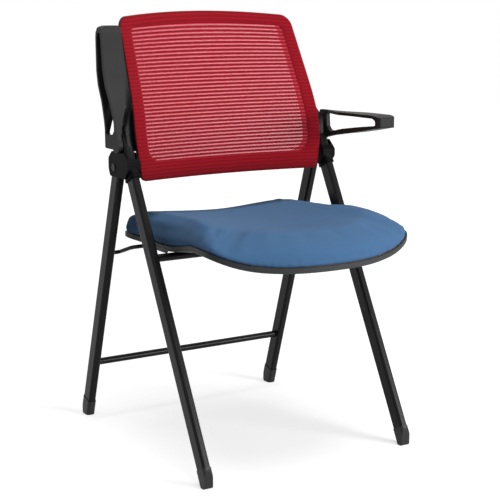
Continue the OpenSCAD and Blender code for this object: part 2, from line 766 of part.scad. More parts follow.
module seat_pan() {
    color("#303032") from_feet() difference() {
        seat_solid([
            [0.45, 0, 0], [0.8, 0, 0], [edge_share, 0, 0], [1, pan_wall / 2, 0], [1, pan_rim, 0],
            [wall_share, pan_rim, 0], [wall_share, pan_wall, 0], [0.8, pan_wall, 0], [0.45, pan_wall, 0],
        ]);
        seat_screw_cuts();
    }
}

module seat_board() {
    reach = wall_share - fit / seat_w;
    low = pan_wall + fit;
    color("#b58a5a") from_feet() difference() {
        seat_solid([
            [0.45, low, 0], [0.8, low, 0], [reach, low, 0],
            [reach, low + board_t, 0], [0.8, low + board_t, 0], [0.45, low + board_t, 0],
        ]);
        seat_screw_cuts();
    }
}

module seat_cushion() {
    function bow(r) = pow(1 - pow(r, cushion_edge_power), 0.5);
    top = [for (i = [len(cushion_ring_shares) - 1:-1:0]) let (r = cushion_ring_shares[i], b = bow(r))
        [r, pan_rim + cushion_bulge * (1 - b), b]];
    color("#3f6490") from_feet() seat_solid(concat(
        [[0.45, pan_rim, 0], [0.8, pan_rim, 0], [cushion_tuck_share, pan_rim, 0],
        [(1 + cushion_tuck_share) / 2, pan_rim + cushion_bulge / 2, 0]],
        top
    ));
}

// Seat screws: through a hanger's or runner's flange and the pan into the board
module at_seat_screws() {
    hanger_screw = hanger_reach - screw_inset + seat_bar_d / 2;
    runner_mid = runner_x + runner_t / 2 + (runner_flange - runner_t) / 2;
    flange = pan_z - hanger_wall;
    for (side = [left, right]) on_side(side) {
        for (y = [-hanger_screw, hanger_screw]) translate([hanger_x, seat_pivot_y + y, flange]) children();
        for (y = [runner_near_y + screw_inset, runner_far_y - screw_inset]) translate([runner_mid, y, flange]) children();
    }
}

module seat_screw_cuts() {
    at_seat_screws() translate([0, 0, -over]) cylinder(d = screw_d + 2 * slip, h = screw_len + over + fit, $fn = 24);
}

module seat_hanger(side) {
    reach = hanger_reach + seat_bar_d / 2;
    outer_d = seat_bar_d + 2 * hanger_wall;
    color("#3a3a3c") from_feet() difference() {
        union() {
            on_side(side) cross_rod(hanger_x - hanger_w / 2, hanger_x + hanger_w / 2, seat_pivot_y, seat_bar_z, outer_d);
            on_side(side) translate([hanger_x - hanger_w / 2, seat_pivot_y - reach, pan_z - hanger_wall])
                cube([hanger_w, 2 * reach, hanger_wall]);
            on_side(side) translate([hanger_x - hanger_w / 2, seat_pivot_y - outer_d / 2, seat_bar_z])
                cube([hanger_w, outer_d, pan_z - seat_bar_z]);
        }
        on_side(side) cross_rod(hanger_x - hanger_w, hanger_x + hanger_w, seat_pivot_y, seat_bar_z, seat_bar_d + 2 * slip);
        seat_screw_cuts();
    }
}

module seat_hanger_left() { seat_hanger(left); }
module seat_hanger_right() { seat_hanger(right); }

// Where the link rod lies in the seat's own frame, in (y, z), at a share of the fold
function turned(p, a) = [p[0] * cos(a) - p[1] * sin(a), p[0] * sin(a) + p[1] * cos(a)];
function rod_path(t) = let (
    hinge = [hinge_y, hinge_z],
    seat = [seat_pivot_y, seat_bar_z],
    pin = [link_y, link_z],
    end = hinge + turned(pin - hinge, -fold_angle * t)
        + turned([slot_y, slot_z] - pin, -(fold_angle + link_fold) * t)
) seat + turned(end - seat, -seat_fold * t);

// The slot: the path of the rod, grown all round by the rod's own half thickness
module slot_outline() {
    path = [for (i = [0:slot_steps]) rod_path(i / slot_steps)];
    offset(r = link_d / 2 + clear - slip) polygon(concat(
        [for (point = path) point + [0, slip]],
        [for (i = [slot_steps:-1:0]) path[i] - [0, slip]]
    ));
}

runner_near_y = rod_path(1)[0] - link_d / 2 - runner_end;
runner_far_y = slot_y + link_d / 2 + runner_end;

// A slotted bracket in which the link rod slides as the legs fold
module seat_runner(side) {
    low = slot_z - link_d / 2 - clear - runner_low;
    c = runner_chamfer;
    color("#3a3a3c") from_feet() difference() {
        on_side(side) {
            side_view(runner_x - runner_t / 2, runner_x + runner_t / 2) difference() {
                polygon([[runner_near_y, pan_z], [runner_far_y, pan_z], [runner_far_y, low + c],
                    [runner_far_y - c, low], [runner_near_y + c, low], [runner_near_y, low + c]]);
                slot_outline();
            }
            translate([runner_x + runner_t / 2 - fuse, runner_near_y, pan_z - hanger_wall])
                cube([runner_flange - runner_t + fuse, runner_far_y - runner_near_y, hanger_wall]);
        }
        seat_screw_cuts();
    }
}

module seat_runner_left() { seat_runner(left); }
module seat_runner_right() { seat_runner(right); }

module seat_screws() {
    color("#8a8a8e") from_feet() at_seat_screws() {
        cylinder(d = screw_d, h = screw_len, $fn = 24);
        translate([0, 0, -screw_head_t]) cylinder(d = screw_head_d, h = screw_head_t);
    }
}

// Armrest, lying down: side view from the pivot
module arm_side_outline() {
    l = arm_len;
    h = arm_rise;
    difference() {
        offset(r = -arm_edge) offset(r = 2 * arm_edge) offset(r = -arm_edge) union() {
            circle(hub_r);
            polygon([
                [hub_r * 0.6, 0], [hub_r * 0.6, h * 0.92], [-0.3 * l, h * 0.94], [-0.6 * l, h * 0.98], [-0.9 * l, h],
                [-l, h * 0.94], [-l, h * 0.54], [-0.94 * l, h * 0.51], [-0.78 * l, h * 0.37], [-0.56 * l, h * 0.2],
                [-0.35 * l, h * 0.06], [-0.18 * l, -h * 0.07], [-0.05 * l, -h * 0.2],
            ]);
        }
        arm_hole_outline();
    }
}

module arm_hole_outline() {
    l = arm_len;
    h = arm_rise;
    bar = arm_bar;
    offset(r = arm_edge) offset(r = -arm_edge) polygon([
        [-0.075 * l, h * 0.93 - bar], [-0.3 * l, h * 0.94 - bar], [-0.6 * l, h * 0.98 - bar], [-0.9 * l, h - bar],
        [-0.94 * l, h * 0.8], [-0.945 * l, h * 0.62], [-0.87 * l, h * 0.57], [-0.72 * l, h * 0.5],
        [-0.45 * l, h * 0.33], [-0.18 * l, h * 0.1], [-0.12 * l, h * 0.13], [-0.085 * l, h * 0.28],
    ]);
}

hub_in_x = front_x + tube_w / 2 + socket_wall + 2 * clear;
hub_out_x = hub_in_x + hub_t;

// Armrest seen from above: slim at the hub and wide at the pad
module arm_plan_outline() {
    l = arm_len;
    tip = arm_edge;
    out_x = arm_in_x + arm_w;
    rear = hub_r + over;
    offset(r = tip) offset(r = -tip) polygon([
        [hub_in_x, rear], [hub_in_x, -hub_r * 1.5], [arm_in_x + 0.1 * arm_w, -0.36 * l],
        [arm_in_x, -0.75 * l], [arm_in_x, -0.97 * l],
        [arm_in_x + 0.1 * arm_w, -l], [arm_in_x + 0.72 * arm_w, -l], [arm_in_x + 0.93 * arm_w, -0.985 * l],
        [out_x, -0.94 * l], [out_x, -0.62 * l], [out_x - 0.05 * arm_w, -0.5 * l], [out_x - 0.19 * arm_w, -0.36 * l],
        [hub_out_x + 0.03 * arm_w, -0.2 * l], [hub_out_x, -0.12 * l], [hub_out_x, rear],
    ]);
}

// The right armrest stands flipped up, the left one lies down
module at_arm(side) {
    flip = side == left ? 0 : -90;
    from_feet() on_side(side) translate([0, arm_pivot_y, arm_pivot_z]) rotate([flip, 0, 0]) children();
}

module armrest(side) {
    color("#262628") at_arm(side) difference() {
        intersection() {
            side_view(hub_in_x - arm_w, hub_in_x + 2 * arm_w) arm_side_outline();
            translate([0, 0, -arm_rise]) linear_extrude(3 * arm_rise) arm_plan_outline();
        }
        cross_rod(hub_in_x - over, hub_out_x, 0, 0, bush_d + 2 * fit);
        cross_rod(hub_in_x + bush_len, hub_out_x + over, 0, 0, cap_d + 2 * fit);
    }
}

module armrest_left() { armrest(left); }
module armrest_right() { armrest(right); }

module arm_bush(side) {
    color("#b9b7ac") at_arm(side) difference() {
        cross_rod(hub_in_x, hub_in_x + bush_len, 0, 0, bush_d);
        cross_rod(hub_in_x - over, hub_out_x, 0, 0, bolt_d + 2 * slip);
    }
}

module arm_bush_left() { arm_bush(left); }
module arm_bush_right() { arm_bush(right); }

module arm_cap(side) {
    color("#1c1c1e") at_arm(side) cross_rod(hub_out_x - cap_t, hub_out_x, 0, 0, cap_d);
}

module arm_cap_left() { arm_cap(left); }
module arm_cap_right() { arm_cap(right); }

front_leg_left();
front_leg_right();
front_foot_left();
front_foot_right();
seat_bar();
hinge_housing_left();
hinge_housing_right();
hinge_pin_left();
hinge_pin_right();
back_upright_left();
back_upright_right();
back_frame();
back_cover();
back_mesh();
back_screws();
arm_bolt_left();
arm_bolt_right();
rear_leg_left();
rear_leg_right();
rear_bar();
rear_foot_left();
rear_foot_right();
hinge_spacers();
link_rod();
seat_pan();
seat_board();
seat_cushion();
seat_hanger_left();
seat_hanger_right();
seat_runner_left();
seat_runner_right();
seat_screws();
armrest_left();
armrest_right();
arm_bush_left();
arm_bush_right();
arm_cap_left();
arm_cap_right();
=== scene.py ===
# Folding conference chair with a mesh back: how it looks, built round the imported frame.
import math

import bmesh
import bpy
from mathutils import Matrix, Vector


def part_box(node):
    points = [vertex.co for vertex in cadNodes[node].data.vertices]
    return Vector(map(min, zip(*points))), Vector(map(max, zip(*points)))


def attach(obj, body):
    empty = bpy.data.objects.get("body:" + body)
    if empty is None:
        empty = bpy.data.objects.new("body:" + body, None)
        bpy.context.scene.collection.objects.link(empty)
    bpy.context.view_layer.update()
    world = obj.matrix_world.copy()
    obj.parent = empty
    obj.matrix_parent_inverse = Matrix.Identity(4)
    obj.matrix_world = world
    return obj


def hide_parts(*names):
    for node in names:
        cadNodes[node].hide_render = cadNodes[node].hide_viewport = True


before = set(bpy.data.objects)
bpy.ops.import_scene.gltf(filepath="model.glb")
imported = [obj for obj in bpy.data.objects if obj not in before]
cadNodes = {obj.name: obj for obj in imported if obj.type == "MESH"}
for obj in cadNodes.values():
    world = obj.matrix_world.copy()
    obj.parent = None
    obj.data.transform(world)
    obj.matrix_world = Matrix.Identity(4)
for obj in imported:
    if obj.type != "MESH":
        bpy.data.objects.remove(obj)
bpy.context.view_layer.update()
print("frame loaded:", len(cadNodes), "nodes")

# The photograph's view of the chair
camera = {
    "place": (-1.32125, -2.16631, 0.88194),
    "tilt": 78.78,
    "turn": -31.358,
    "lens": 94.54,
    "sensor": 36,
}


def addCamera():
    data = bpy.data.cameras.new("viewOfChair")
    data.lens = camera["lens"]
    data.sensor_width = camera["sensor"]
    viewer = bpy.data.objects.new("viewOfChair", data)
    viewer.location = camera["place"]
    viewer.rotation_euler = (math.radians(camera["tilt"]), 0, math.radians(camera["turn"]))
    bpy.context.scene.collection.objects.link(viewer)
    bpy.context.scene.camera = viewer


addCamera()
print("camera placed")

# Distances, angles and bevels that the helpers share
meshing = {
    "cadGap": 0.00001,
    "gridGap": 0.000001,
    "flatAngle": 0.4,
    "sharpAngle": 35,
    "bevelSegments": 2,
}


# Small helpers that stand in for clicks
def makeActive(piece):
    bpy.ops.object.select_all(action="DESELECT")
    piece.select_set(True)
    bpy.context.view_layer.objects.active = piece


def pickFaces(piece, rule):
    # in edit mode, selects just the faces that the rule names
    bpy.ops.mesh.select_mode(type="FACE")
    bpy.ops.mesh.select_all(action="DESELECT")
    mesh = bmesh.from_edit_mesh(piece.data)
    for face in mesh.faces:
        if rule(face):
            face.select_set(True)
    mesh.select_flush_mode()
    bmesh.update_edit_mesh(piece.data)


def applyAll(piece):
    makeActive(piece)
    for modifier in list(piece.modifiers):
        bpy.ops.object.modifier_apply(modifier=modifier.name)


def mergePoints(piece, gap):
    makeActive(piece)
    bpy.ops.object.mode_set(mode="EDIT")
    bpy.ops.mesh.select_all(action="SELECT")
    bpy.ops.mesh.remove_doubles(threshold=gap)
    bpy.ops.object.mode_set(mode="OBJECT")


def faceOutwards(piece):
    makeActive(piece)
    bpy.ops.object.mode_set(mode="EDIT")
    bpy.ops.mesh.select_all(action="SELECT")
    bpy.ops.mesh.normals_make_consistent(inside=False)
    bpy.ops.object.mode_set(mode="OBJECT")


def shadeByAngle(piece, angle):
    makeActive(piece)
    bpy.ops.object.shade_smooth_by_angle(angle=math.radians(angle))


def thicken(piece, name, thickness, offset):
    wall = piece.modifiers.new(name, "SOLIDIFY")
    wall.thickness = thickness
    wall.offset = offset
    applyAll(piece)


def evenOut(piece, iterations, factor):
    smooth = piece.modifiers.new("evenOut", "SMOOTH")
    smooth.iterations = iterations
    smooth.factor = factor
    applyAll(piece)


def addGrid(name, across, up):
    # a flat grid of 1 by 1, with so many faces across and up
    bpy.ops.object.select_all(action="DESELECT")
    bpy.ops.mesh.primitive_grid_add(x_subdivisions=across, y_subdivisions=up, size=1)
    piece = bpy.context.object
    piece.name = name
    return piece


def gridPlace(point, across, up):
    # how many faces of the grid lie left of a point, and how many below it
    return (point.x + 0.5) * across, (point.y + 0.5) * up


def mergedCopy(nodeName, name):
    # a CAD node's mesh as one closed skin
    piece = bpy.data.objects.new(name, cadNodes[nodeName].data.copy())
    bpy.context.scene.collection.objects.link(piece)
    mergePoints(piece, meshing["cadGap"])
    bpy.ops.mesh.customdata_custom_splitnormals_clear()
    return piece


def dissolveFlats(piece):
    # joins the triangles of each flat face
    makeActive(piece)
    bpy.ops.object.mode_set(mode="EDIT")
    bpy.ops.mesh.select_all(action="SELECT")
    bpy.ops.mesh.dissolve_limited(angle_limit=math.radians(meshing["flatAngle"]))
    bpy.ops.object.mode_set(mode="OBJECT")


def bevelEdges(piece, width):
    bevel = piece.modifiers.new("softEdges", "BEVEL")
    bevel.width = width
    bevel.segments = meshing["bevelSegments"]
    bevel.limit_method = "ANGLE"
    bevel.angle_limit = math.radians(meshing["sharpAngle"])
    applyAll(piece)
    shadeByAngle(piece, meshing["sharpAngle"])
    normals = piece.modifiers.new("faceNormals", "WEIGHTED_NORMAL")
    normals.keep_sharp = True
    applyAll(piece)


def settle(piece, body, material, replaced):
    # place in the mesh, one material, the body that it rides on and the node that it replaces
    makeActive(piece)
    bpy.ops.object.transform_apply(location=True, rotation=True, scale=True)
    piece.data.materials.clear()
    piece.data.materials.append(material)
    for face in piece.data.polygons:
        face.material_index = 0
    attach(piece, body)
    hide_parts(replaced)


def smoothStep(t):
    t = min(max(t, 0), 1)
    return t * t * (3 - 2 * t)


# Materials
def newMaterial(name, settings):
    material = bpy.data.materials.new(name)
    material.use_nodes = True
    tree = material.node_tree
    shader = tree.nodes["Principled BSDF"]
    shader.inputs["Base Color"].default_value = (*settings["colour"], 1)
    shader.inputs["Roughness"].default_value = settings["roughness"]
    shader.inputs["Metallic"].default_value = settings.get("metallic", 0)
    shader.inputs["Specular IOR Level"].default_value = settings.get("specular", 0.5)
    shader.inputs["Sheen Weight"].default_value = settings.get("sheen", 0)
    return material, tree, shader


def addNode(tree, kind, links=None, **values):
    # one node, with its inputs set or linked by name
    node = tree.nodes.new(kind)
    for name, value in values.items():
        setattr(node, name, value)
    for name, value in (links or {}).items():
        if isinstance(value, bpy.types.NodeSocket):
            tree.links.new(value, node.inputs[name])
        else:
            node.inputs[name].default_value = value
    return node


def mathNode(tree, kind, first, second=0.0):
    return addNode(tree, "ShaderNodeMath", {0: first, 1: second}, operation=kind).outputs[0]


def rangeNode(tree, value, start, end, low=0, high=1):
    # low at the value start, high at the value end
    return addNode(tree, "ShaderNodeMapRange", {
        "Value": value, "From Min": start, "From Max": end, "To Min": low, "To Max": high,
    }).outputs[0]


def mixNode(tree, share, first, second):
    # a Mix node's sockets 2 and 3 take its two numbers
    return addNode(tree, "ShaderNodeMix", {0: share, 2: first, 3: second}).outputs[0]


def mixColours(tree, share, first, second):
    # its sockets 6 and 7 take the two colours, and the mixed one leaves by output 2
    return addNode(tree, "ShaderNodeMix", {0: share, 6: first, 7: second}, data_type="RGBA").outputs[2]


def objectPlace(tree):
    return addNode(tree, "ShaderNodeTexCoord").outputs["Object"]


def noiseNode(tree, place, scale, detail):
    noise = addNode(tree, "ShaderNodeTexNoise", {"Vector": place, "Scale": scale, "Detail": detail})
    return noise.outputs["Fac"]


def wavesAlong(tree, value, length):
    # 0 to 1 and back once in every length
    wave = mathNode(tree, "SINE", mathNode(tree, "MULTIPLY", value, 2 * math.pi / length))
    return rangeNode(tree, wave, -1, 1)


def tinted(colour, share):
    return (*[min(1, c * share) for c in colour], 1)


def shadesOf(colour, spread):
    # the colour darkened and lightened by one share
    return tinted(colour, 1 - spread), tinted(colour, 1 + spread)


def dress(tree, shader, colour, height, depth, strength=1.0):
    # the pattern's colour, and bumps as deep as depth where height is 1
    bump = addNode(tree, "ShaderNodeBump", {"Height": height, "Distance": depth, "Strength": strength})
    tree.links.new(colour, shader.inputs["Base Color"])
    tree.links.new(bump.outputs["Normal"], shader.inputs["Normal"])


grain = {"fineDetail": 2, "broadDetail": 4, "glossFrom": 0.3, "glossTo": 0.7}


def grainFinish(name, settings):
    # sprayed or moulded grain: fine bump, a faint drift of colour and uneven gloss
    material, tree, shader = newMaterial(name, settings)
    place = objectPlace(tree)
    fine = noiseNode(tree, place, settings["grain"], grain["fineDetail"])
    broad = noiseNode(tree, place, settings["drift"], grain["broadDetail"])
    colour = mixColours(tree, broad, *shadesOf(settings["colour"], settings["spread"]))
    dullest = settings["roughness"] + settings["glossDrift"]
    glossiest = settings["roughness"] - settings["glossDrift"]
    gloss = rangeNode(tree, broad, grain["glossFrom"], grain["glossTo"], glossiest, dullest)
    tree.links.new(gloss, shader.inputs["Roughness"])
    dress(tree, shader, colour, fine, settings["depth"])
    return material


finishes = {
    "powderCoat": {
        "colour": (0.006, 0.006, 0.0064), "roughness": 0.3, "specular": 0.11, "grain": 1100,
        "drift": 9, "spread": 0.15, "glossDrift": 0.05, "depth": 0.00003,
    },
    "hingePlastic": {
        "colour": (0.0032, 0.0032, 0.0034), "roughness": 0.5, "specular": 0.03, "grain": 1500,
        "drift": 14, "spread": 0.15, "glossDrift": 0.06, "depth": 0.00008,
    },
    "footPlastic": {
        "colour": (0.016, 0.016, 0.0165), "roughness": 0.45, "specular": 0.2, "grain": 1500,
        "drift": 20, "spread": 0.2, "glossDrift": 0.06, "depth": 0.00008,
    },
    "armPlastic": {
        "colour": (0.015, 0.0152, 0.0148), "roughness": 0.5, "specular": 0.1, "grain": 1300,
        "drift": 12, "spread": 0.12, "glossDrift": 0.05, "depth": 0.00008,
    },
    "framePlastic": {
        "colour": (0.006, 0.006, 0.0064), "roughness": 0.5, "specular": 0.1, "grain": 1400,
        "drift": 10, "spread": 0.15, "glossDrift": 0.05, "depth": 0.00007,
    },
    "panPlastic": {
        "colour": (0.021, 0.0225, 0.024), "roughness": 0.55, "specular": 0.2, "grain": 1200,
        "drift": 8, "spread": 0.12, "glossDrift": 0.05, "depth": 0.0001,
    },
    "zincSteel": {
        "colour": (0.42, 0.42, 0.43), "roughness": 0.34, "metallic": 1, "grain": 800,
        "drift": 60, "spread": 0.12, "glossDrift": 0.08, "depth": 0.00002,
    },
    "linkSteel": {
        "colour": (0.008, 0.008, 0.0084), "roughness": 0.4, "specular": 0.15, "grain": 1300,
        "drift": 18, "spread": 0.15, "glossDrift": 0.06, "depth": 0.00005,
    },
    "nylon": {
        "colour": (0.62, 0.61, 0.57), "roughness": 0.45, "grain": 900,
        "drift": 30, "spread": 0.06, "glossDrift": 0.05, "depth": 0.00003,
    },
}
finish = {name: grainFinish(name, settings) for name, settings in finishes.items()}


plywood = {
    "colour": (0.42, 0.25, 0.11),
    "roughness": 0.6,
    "ply": 0.0016,
    "fibre": 90,
    "fibreDetail": 5,
    "stretch": 14,
    "darkPly": 0.25,
    "palePly": 0.75,
    "darker": 0.6,
    "lighter": 1.5,
    "depth": 0.0001,
}


def plywoodFinish():
    # plies that alternate between dark and pale, with fibres along them
    material, tree, shader = newMaterial("plywood", plywood)
    place = objectPlace(tree)
    height = addNode(tree, "ShaderNodeSeparateXYZ", {"Vector": place}).outputs["Z"]
    shade = wavesAlong(tree, height, 2 * plywood["ply"])
    shade = rangeNode(tree, shade, 0, 1, plywood["darkPly"], plywood["palePly"])
    stretch = (plywood["stretch"], 1, plywood["stretch"])
    along = addNode(tree, "ShaderNodeMapping", {"Vector": place, "Scale": stretch}).outputs[0]
    fibre = noiseNode(tree, along, plywood["fibre"], plywood["fibreDetail"])
    both = mathNode(tree, "MULTIPLY", shade, fibre)
    darker = tinted(plywood["colour"], plywood["darker"])
    lighter = tinted(plywood["colour"], plywood["lighter"])
    dress(tree, shader, mixColours(tree, both, darker, lighter), fibre, plywood["depth"])
    return material


seatCloth = {
    "colour": (0.040, 0.098, 0.195),
    "roughness": 0.95,
    "specular": 0.1,
    "sheen": 0.05,
    "thread": 0.0013,
    "levelFrom": 0.6,
    "fleck": 1500,
    "drift": 14,
    "detail": 3,
    "fleckShare": 0.6,
    "driftShare": 0.25,
    "weaveShare": 0.15,
    "spread": 0.16,
    "fleckHeight": 0.4,
    "depth": 0.0002,
    "relief": 0.7,
}


def seatClothFinish():
    # plain weave: bumps of crossing threads, flecked with lighter and darker yarn
    material, tree, shader = newMaterial("seatCloth", seatCloth)
    place = addNode(tree, "ShaderNodeTexCoord").outputs
    axes = addNode(tree, "ShaderNodeSeparateXYZ", {"Vector": place["Object"]}).outputs
    facing = addNode(tree, "ShaderNodeSeparateXYZ", {"Vector": place["Normal"]}).outputs
    level = mathNode(tree, "GREATER_THAN", mathNode(tree, "ABSOLUTE", facing["Z"]), seatCloth["levelFrom"])
    along = mathNode(tree, "ADD", axes["X"], axes["Y"])
    warp = wavesAlong(tree, mixNode(tree, level, along, axes["X"]), seatCloth["thread"])
    weft = wavesAlong(tree, mixNode(tree, level, axes["Z"], axes["Y"]), seatCloth["thread"])
    weave = mathNode(tree, "ABSOLUTE", mathNode(tree, "SUBTRACT", warp, weft))
    fleck = noiseNode(tree, place["Object"], seatCloth["fleck"], seatCloth["detail"])
    broad = noiseNode(tree, place["Object"], seatCloth["drift"], seatCloth["detail"])
    yarn = mathNode(tree, "ADD", mathNode(tree, "MULTIPLY", fleck, seatCloth["fleckShare"]),
                    mathNode(tree, "MULTIPLY", broad, seatCloth["driftShare"]))
    shade = mathNode(tree, "ADD", yarn, mathNode(tree, "MULTIPLY", weave, seatCloth["weaveShare"]))
    colour = mixColours(tree, shade, *shadesOf(seatCloth["colour"], seatCloth["spread"]))
    height = mathNode(tree, "ADD", weave, mathNode(tree, "MULTIPLY", fleck, seatCloth["fleckHeight"]))
    dress(tree, shader, colour, height, seatCloth["depth"], seatCloth["relief"])
    return material


# The back: its front face as the frame has it, hollow across and leaning above
back = {
    "halfWidth": 0.211,
    "low": 0.521,
    "high": 0.829,
    "crown": 0.011,
    "crownPower": 3,
    "hollow": 0.022,
    "lean": 26,
    "lipY": 0.06598,
    "uprightZ": 0.550,
    "blend": 0.144,
    "wideZ": 0.620,
    "taper": 0.071,
    "waist": 0.052,
    "roundLow": 0.009,
    "roundTop": 0.020,
    "windowSide": 0.026,
    "windowLow": 0.035,
    "windowTop": 0.021,
    "windowRoundLow": 0.028,
    "windowRoundTop": 0.011,
    "cornerSteps": 10,
    "sideSteps": 26,
    "levelSteps": 34,
    "stripes": 36,
}
stripePitch = (back["high"] - back["windowTop"] - back["low"] - back["windowLow"]) / back["stripes"]


def backTaper(z):
    if z < back["wideZ"]:
        return 1 - back["waist"] * ((back["wideZ"] - z) / (back["wideZ"] - back["low"])) ** 2
    return 1 - back["taper"] * (z - back["wideZ"]) / (back["high"] - back["wideZ"])


def backLean(z):
    slope = math.tan(math.radians(back["lean"]))
    if z < back["uprightZ"] + back["blend"]:
        return slope / (2 * back["blend"]) * max(z - back["uprightZ"], 0) ** 2
    return slope * (z - back["uprightZ"] - back["blend"] / 2)


def backFront(x, z):
    share = x / (back["halfWidth"] * backTaper(z))
    return back["lipY"] + backLean(z) + back["hollow"] * (1 - share ** 2)


def backCrown(across, up):
    rise = max(up - back["wideZ"], 0) / (back["high"] - back["wideZ"])
    return back["crown"] * rise ** back["crownPower"] * (1 - (across / back["halfWidth"]) ** 2)


def onBack(across, up, depth):
    # a flat point of the back, across and up, at its true place and depth
    z = up + backCrown(across, up)
    x = across * backTaper(up)
    return Vector((x, backFront(x, z) + depth, z))


def flatMap(piece):
    # UV in metres on the flat back, which the fabric's stripes follow
    layer = piece.data.uv_layers.active or piece.data.uv_layers.new(name="flat")
    for loop in piece.data.loops:
        point = piece.data.vertices[loop.vertex_index].co
        across = point.x / backTaper(point.z)
        layer.data[loop.index].uv = (across, point.z - backCrown(across, point.z))


def flatOutline(side, low, top, roundLow, roundTop):
    # rounded outline of the flat back, inset from its edges, from the low corner at +X round
    half = back["halfWidth"] - side
    zLow = back["low"] + low
    zHigh = back["high"] - top
    corners = [
        (half - roundLow, zLow + roundLow, roundLow, -90),
        (half - roundTop, zHigh - roundTop, roundTop, 0),
        (roundTop - half, zHigh - roundTop, roundTop, 90),
        (roundLow - half, zLow + roundLow, roundLow, 180),
    ]
    points = []
    for index, (x, z, radius, start) in enumerate(corners):
        for step in range(back["cornerSteps"] + 1):
            angle = math.radians(start + 90 * step / back["cornerSteps"])
            points.append((x + radius * math.cos(angle), z + radius * math.sin(angle)))
        nextX, nextZ, nextRadius, nextStart = corners[(index + 1) % len(corners)]
        angle = math.radians(nextStart)
        arcEnd = points[-1]
        nextArc = (nextX + nextRadius * math.cos(angle), nextZ + nextRadius * math.sin(angle))
        steps = back["sideSteps"] if index % 2 == 0 else back["levelSteps"]
        for step in range(1, steps):
            points.append(tuple(a + (b - a) * step / steps for a, b in zip(arcEnd, nextArc)))
    return points


outerLine = flatOutline(0, 0, 0, back["roundLow"], back["roundTop"])
windowLine = flatOutline(
    back["windowSide"], back["windowLow"], back["windowTop"], back["windowRoundLow"], back["windowRoundTop"]
)


def backBand(name, section, closed):
    # a band round the back, whose section lists (share of the border, depth)
    around = len(outerLine)
    along = len(section) if closed else len(section) - 1
    band = addGrid(name, around, along)
    for vertex in band.data.vertices:
        i, j = [round(count) for count in gridPlace(vertex.co, around, along)]
        i %= around
        share, depth = section[j % len(section)]
        across, up = [a + (b - a) * share for a, b in zip(outerLine[i], windowLine[i])]
        vertex.co = onBack(across, up, depth)
    mergePoints(band, meshing["gridGap"])
    faceOutwards(band)
    return band


def stripesOnBack(tree):
    # the place on the flat back, and 1 along the middle of each sheer stripe
    place = addNode(tree, "ShaderNodeUVMap").outputs["UV"]
    flat = addNode(tree, "ShaderNodeSeparateXYZ", {"Vector": place}).outputs
    level = mathNode(tree, "SUBTRACT", flat["Y"], back["low"] + back["windowLow"] + stripePitch / 4)
    return flat, wavesAlong(tree, level, stripePitch)


# Stretched net: dense stripes joined by fine upright threads
netCloth = {
    "colour": (0.165, 0.004, 0.010),
    "sheer": (0.50, 0.030, 0.054),
    "roughness": 0.85,
    "specular": 0.12,
    "sheen": 0.04,
    "knit": 0.0019,
    "knitRows": 6,
    "edgeFrom": 0.58,
    "edgeTo": 0.73,
    "speck": 700,
    "speckDetail": 2,
    "darker": 0.8,
    "lighter": 1.25,
    "bump": 0.00015,
    "depth": 0.0018,
    "thick": 0.0005,
    "lap": 0.009,
    "threadShare": 0.68,
    "sheerFrom": 0.3,
    "sheerTo": 0.7,
}


def netFinish():
    # dense knitted stripes, and lighter single threads in the sheer ones between them
    material, tree, shader = newMaterial("netCloth", netCloth)
    flat, sheer = stripesOnBack(tree)
    edge = rangeNode(tree, sheer, netCloth["edgeFrom"], netCloth["edgeTo"])
    knitAcross = wavesAlong(tree, flat["X"], netCloth["knit"] / 2)
    knitUp = wavesAlong(tree, flat["Y"], stripePitch / netCloth["knitRows"])
    knit = mathNode(tree, "MULTIPLY", knitAcross, knitUp)
    speck = noiseNode(tree, objectPlace(tree), netCloth["speck"], netCloth["speckDetail"])
    darker = tinted(netCloth["colour"], netCloth["darker"])
    lighter = tinted(netCloth["colour"], netCloth["lighter"])
    dense = mixColours(tree, speck, darker, lighter)
    dress(tree, shader, mixColours(tree, edge, dense, (*netCloth["sheer"], 1)), knit, netCloth["bump"])
    return material


def makeNet():
    half = back["halfWidth"] - back["windowSide"] + netCloth["lap"]
    low = back["low"] + back["windowLow"]
    threads = round(2 * half / netCloth["knit"])
    columns = []
    for thread in range(threads):
        columns += [-half + 2 * half * (thread + edge) / threads for edge in (0, netCloth["threadShare"])]
    columns.append(half)
    rows = [low - netCloth["lap"]]
    for stripe in range(back["stripes"]):
        rows += [low + (stripe + netCloth[edge]) * stripePitch for edge in ("sheerFrom", "sheerTo")]
    rows.append(low + back["stripes"] * stripePitch + netCloth["lap"])
    net = addGrid("backNet", len(columns) - 1, len(rows) - 1)

    def isGap(face):
        column, row = gridPlace(face.calc_center_median(), len(columns) - 1, len(rows) - 1)
        return math.floor(column) % 2 == 1 and math.floor(row) % 2 == 1

    bpy.ops.object.mode_set(mode="EDIT")
    pickFaces(net, isGap)
    bpy.ops.mesh.delete(type="FACE")
    bpy.ops.object.mode_set(mode="OBJECT")
    depth = netCloth["depth"] + netCloth["thick"] / 2
    for vertex in net.data.vertices:
        column, row = gridPlace(vertex.co, len(columns) - 1, len(rows) - 1)
        vertex.co = onBack(columns[round(column)], rows[round(row)], depth)
    faceOutwards(net)
    flatMap(net)
    thicken(net, "threadThickness", netCloth["thick"], 0)
    settle(net, "front_frame", finish["netCloth"], "back_mesh")


